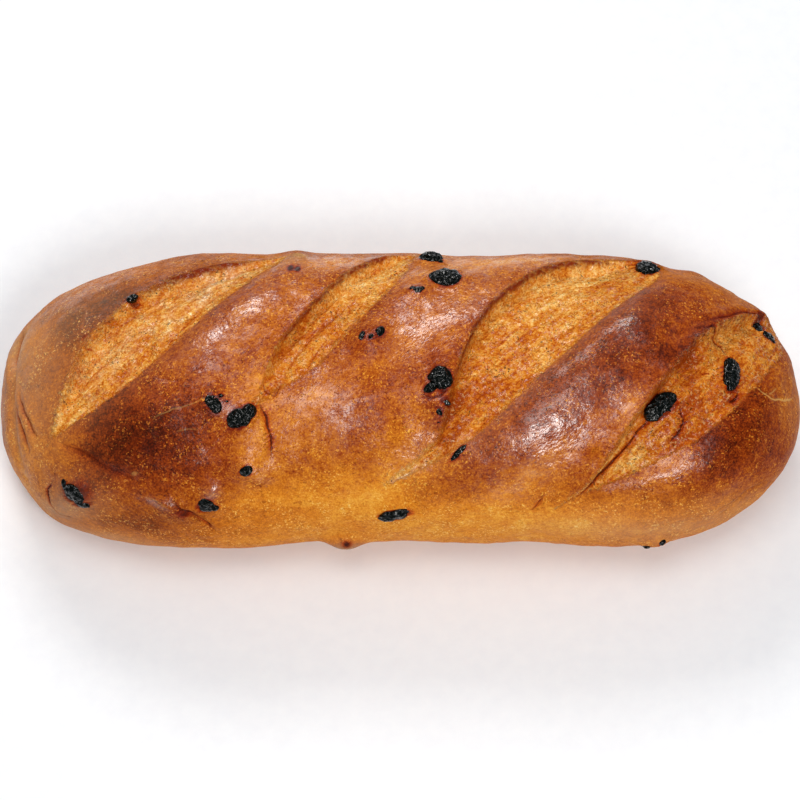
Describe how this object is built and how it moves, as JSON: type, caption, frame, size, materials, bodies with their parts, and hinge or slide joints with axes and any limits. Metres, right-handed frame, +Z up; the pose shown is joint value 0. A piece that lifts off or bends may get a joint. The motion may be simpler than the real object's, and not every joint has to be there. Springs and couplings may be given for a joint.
{
  "type": "raisin bread loaf",
  "caption": "Long free-form raisin loaf, browned and glossy, with slanting slashes opened over its top and dark raisins showing through the crust.",
  "frame": {"origin": "middle of the flat base that the loaf rests on", "axes": "+X along the loaf, +Y across it towards the back, +Z up"},
  "size_m": [0.28, 0.1082, 0.0755],
  "materials": {
    "crust": "browned bread crust with a thin egg-wash gloss",
    "raisin": "dark wrinkled raisin skin, moist gloss"
  },
  "bodies": {
    "root": {"loaf": "crust", "raisin_01": "raisin", "raisin_02": "raisin", "raisin_03": "raisin", "raisin_04": "raisin", "raisin_05": "raisin", "raisin_06": "raisin", "raisin_07": "raisin", "raisin_08": "raisin", "raisin_09": "raisin", "raisin_10": "raisin", "raisin_11": "raisin", "raisin_12": "raisin", "raisin_13": "raisin", "raisin_14": "raisin", "raisin_15": "raisin", "raisin_16": "raisin", "raisin_17": "raisin", "raisin_18": "raisin", "raisin_19": "raisin", "raisin_20": "raisin", "raisin_21": "raisin", "raisin_22": "raisin", "raisin_23": "raisin", "raisin_24": "raisin", "raisin_25": "raisin"}
  },
  "joints": []
}
